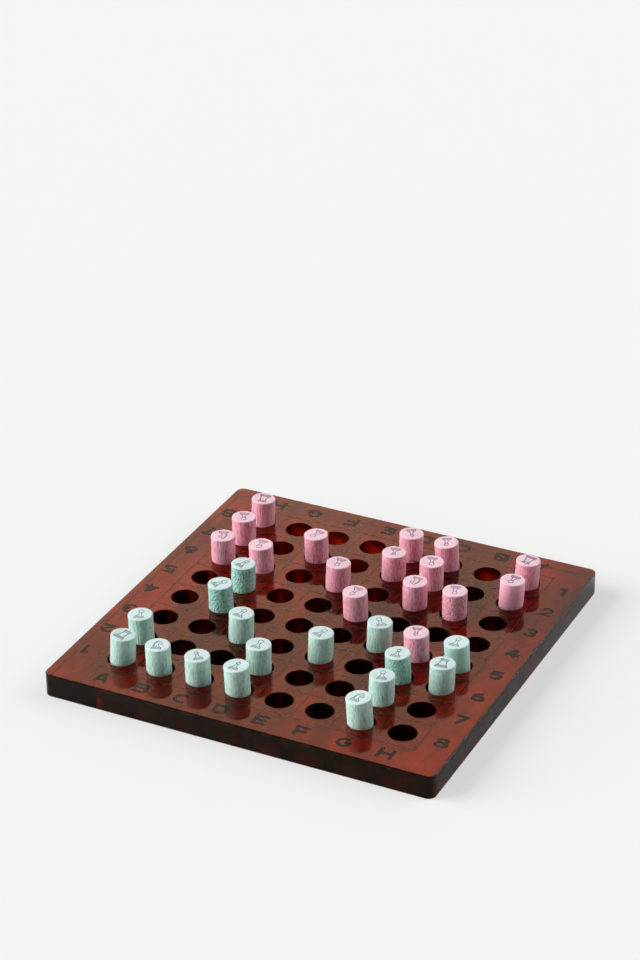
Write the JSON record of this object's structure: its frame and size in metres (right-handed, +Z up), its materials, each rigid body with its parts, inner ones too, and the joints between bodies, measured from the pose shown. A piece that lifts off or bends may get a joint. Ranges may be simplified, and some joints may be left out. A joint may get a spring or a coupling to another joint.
{
  "type": "travel chess and checkers set",
  "caption": "Flat square acrylic peg board with a grid of round blind holes, and round wooden pegs in two colours for chess and checkers that lift straight out.",
  "frame": {"origin": "middle of the underside of the board", "axes": "+Z up; +X along the front edge from column A to column H; +Y from the front edge to the back"},
  "size_m": [0.2, 0.2, 0.0257],
  "materials": {
    "acrylic": "gloss",
    "pink_wood": "matte",
    "mint_wood": "matte"
  },
  "bodies": {
    "board": {"board": "acrylic"},
    "pink_rook_1": {"pink_rook_1": "pink_wood"},
    "pink_king": {"pink_king": "pink_wood"},
    "pink_bishop_1": {"pink_bishop_1": "pink_wood"},
    "pink_rook_2": {"pink_rook_2": "pink_wood"},
    "pink_pawn_1": {"pink_pawn_1": "pink_wood"},
    "pink_pawn_3": {"pink_pawn_3": "pink_wood"},
    "pink_queen": {"pink_queen": "pink_wood"},
    "pink_pawn_6": {"pink_pawn_6": "pink_wood"},
    "pink_pawn_8": {"pink_pawn_8": "pink_wood"},
    "pink_knight_1": {"pink_knight_1": "pink_wood"},
    "pink_pawn_2": {"pink_pawn_2": "pink_wood"},
    "pink_pawn_4": {"pink_pawn_4": "pink_wood"},
    "pink_knight_2": {"pink_knight_2": "pink_wood"},
    "pink_pawn_7": {"pink_pawn_7": "pink_wood"},
    "pink_pawn_5": {"pink_pawn_5": "pink_wood"},
    "pink_bishop_2": {"pink_bishop_2": "pink_wood"},
    "mint_bishop_2": {"mint_bishop_2": "mint_wood"},
    "mint_pawn_2": {"mint_pawn_2": "mint_wood"},
    "mint_pawn_6": {"mint_pawn_6": "mint_wood"},
    "mint_pawn_8": {"mint_pawn_8": "mint_wood"},
    "mint_pawn_3": {"mint_pawn_3": "mint_wood"},
    "mint_pawn_5": {"mint_pawn_5": "mint_wood"},
    "mint_queen": {"mint_queen": "mint_wood"},
    "mint_rook_2": {"mint_rook_2": "mint_wood"},
    "mint_pawn_1": {"mint_pawn_1": "mint_wood"},
    "mint_pawn_4": {"mint_pawn_4": "mint_wood"},
    "mint_pawn_7": {"mint_pawn_7": "mint_wood"},
    "mint_rook_1": {"mint_rook_1": "mint_wood"},
    "mint_knight_1": {"mint_knight_1": "mint_wood"},
    "mint_bishop_1": {"mint_bishop_1": "mint_wood"},
    "mint_king": {"mint_king": "mint_wood"},
    "mint_knight_2": {"mint_knight_2": "mint_wood"}
  },
  "joints": [
    {"name": "pink_rook_1_lift", "type": "slide", "parent": "board", "child": "pink_rook_1", "axis": [0.0325, 0.0187, 0.9993], "range_m": [0, 0.028]},
    {"name": "pink_king_lift", "type": "slide", "parent": "board", "child": "pink_king", "axis": [0.0369, 0.0065, 0.9993], "range_m": [0, 0.028]},
    {"name": "pink_bishop_1_lift", "type": "slide", "parent": "board", "child": "pink_bishop_1", "axis": [-0.0429, -0.0301, 0.9986], "range_m": [0, 0.028]},
    {"name": "pink_rook_2_lift", "type": "slide", "parent": "board", "child": "pink_rook_2", "axis": [0.0493, 0.0179, 0.9986], "range_m": [0, 0.028]},
    {"name": "pink_pawn_1_lift", "type": "slide", "parent": "board", "child": "pink_pawn_1", "axis": [0.0096, 0.0115, 0.9999], "range_m": [0, 0.028]},
    {"name": "pink_pawn_3_lift", "type": "slide", "parent": "board", "child": "pink_pawn_3", "axis": [-0.0217, -0.0058, 0.9997], "range_m": [0, 0.028]},
    {"name": "pink_queen_lift", "type": "slide", "parent": "board", "child": "pink_queen", "axis": [0.0201, 0.0169, 0.9997], "range_m": [0, 0.028]},
    {"name": "pink_pawn_6_lift", "type": "slide", "parent": "board", "child": "pink_pawn_6", "axis": [0.017, 0.0079, 0.9998], "range_m": [0, 0.028]},
    {"name": "pink_pawn_8_lift", "type": "slide", "parent": "board", "child": "pink_pawn_8", "axis": [0.0389, 0.0225, 0.999], "range_m": [0, 0.028]},
    {"name": "pink_knight_1_lift", "type": "slide", "parent": "board", "child": "pink_knight_1", "axis": [0.0035, 0.0013, 1], "range_m": [0, 0.028]},
    {"name": "pink_pawn_2_lift", "type": "slide", "parent": "board", "child": "pink_pawn_2", "axis": [-0.0159, -0.0159, 0.9997], "range_m": [0, 0.028]},
    {"name": "pink_pawn_4_lift", "type": "slide", "parent": "board", "child": "pink_pawn_4", "axis": [0.0369, 0.0065, 0.9993], "range_m": [0, 0.028]},
    {"name": "pink_knight_2_lift", "type": "slide", "parent": "board", "child": "pink_knight_2", "axis": [0.0097, 0.0056, 0.9999], "range_m": [0, 0.028]},
    {"name": "pink_pawn_7_lift", "type": "slide", "parent": "board", "child": "pink_pawn_7", "axis": [0.0057, 0.0048, 1], "range_m": [0, 0.028]},
    {"name": "pink_pawn_5_lift", "type": "slide", "parent": "board", "child": "pink_pawn_5", "axis": [-0.0247, -0.009, 0.9997], "range_m": [0, 0.028]},
    {"name": "pink_bishop_2_lift", "type": "slide", "parent": "board", "child": "pink_bishop_2", "axis": [-0.0123, -0.0086, 0.9999], "range_m": [0, 0.028]},
    {"name": "mint_bishop_2_lift", "type": "slide", "parent": "board", "child": "mint_bishop_2", "axis": [0.0238, 0.0111, 0.9997], "range_m": [0, 0.028]},
    {"name": "mint_pawn_2_lift", "type": "slide", "parent": "board", "child": "mint_pawn_2", "axis": [-0.0195, -0.0112, 0.9997], "range_m": [0, 0.028]},
    {"name": "mint_pawn_6_lift", "type": "slide", "parent": "board", "child": "mint_pawn_6", "axis": [0.0362, 0.0097, 0.9993], "range_m": [0, 0.028]},
    {"name": "mint_pawn_8_lift", "type": "slide", "parent": "board", "child": "mint_pawn_8", "axis": [-0.0344, -0.0289, 0.999], "range_m": [0, 0.028]},
    {"name": "mint_pawn_3_lift", "type": "slide", "parent": "board", "child": "mint_pawn_3", "axis": [0.0317, 0.0115, 0.9994], "range_m": [0, 0.028]},
    {"name": "mint_pawn_5_lift", "type": "slide", "parent": "board", "child": "mint_pawn_5", "axis": [0.0325, 0.0187, 0.9993], "range_m": [0, 0.028]},
    {"name": "mint_queen_lift", "type": "slide", "parent": "board", "child": "mint_queen", "axis": [-0.0332, -0.0059, 0.9994], "range_m": [0, 0.028]},
    {"name": "mint_rook_2_lift", "type": "slide", "parent": "board", "child": "mint_rook_2", "axis": [0.0307, 0.0215, 0.9993], "range_m": [0, 0.028]},
    {"name": "mint_pawn_1_lift", "type": "slide", "parent": "board", "child": "mint_pawn_1", "axis": [-0.0238, -0.0111, 0.9997], "range_m": [0, 0.028]},
    {"name": "mint_pawn_4_lift", "type": "slide", "parent": "board", "child": "mint_pawn_4", "axis": [0.0115, 0.0096, 0.9999], "range_m": [0, 0.028]},
    {"name": "mint_pawn_7_lift", "type": "slide", "parent": "board", "child": "mint_pawn_7", "axis": [0.0317, 0.0115, 0.9994], "range_m": [0, 0.028]},
    {"name": "mint_rook_1_lift", "type": "slide", "parent": "board", "child": "mint_rook_1", "axis": [0.0486, 0.0281, 0.9984], "range_m": [0, 0.028]},
    {"name": "mint_knight_1_lift", "type": "slide", "parent": "board", "child": "mint_knight_1", "axis": [-0.0217, -0.0058, 0.9997], "range_m": [0, 0.028]},
    {"name": "mint_bishop_1_lift", "type": "slide", "parent": "board", "child": "mint_bishop_1", "axis": [-0.0092, -0.0065, 0.9999], "range_m": [0, 0.028]},
    {"name": "mint_king_lift", "type": "slide", "parent": "board", "child": "mint_king", "axis": [-0.034, -0.0158, 0.9993], "range_m": [0, 0.028]},
    {"name": "mint_knight_2_lift", "type": "slide", "parent": "board", "child": "mint_knight_2", "axis": [-0.0493, -0.0179, 0.9986], "range_m": [0, 0.028]}
  ]
}
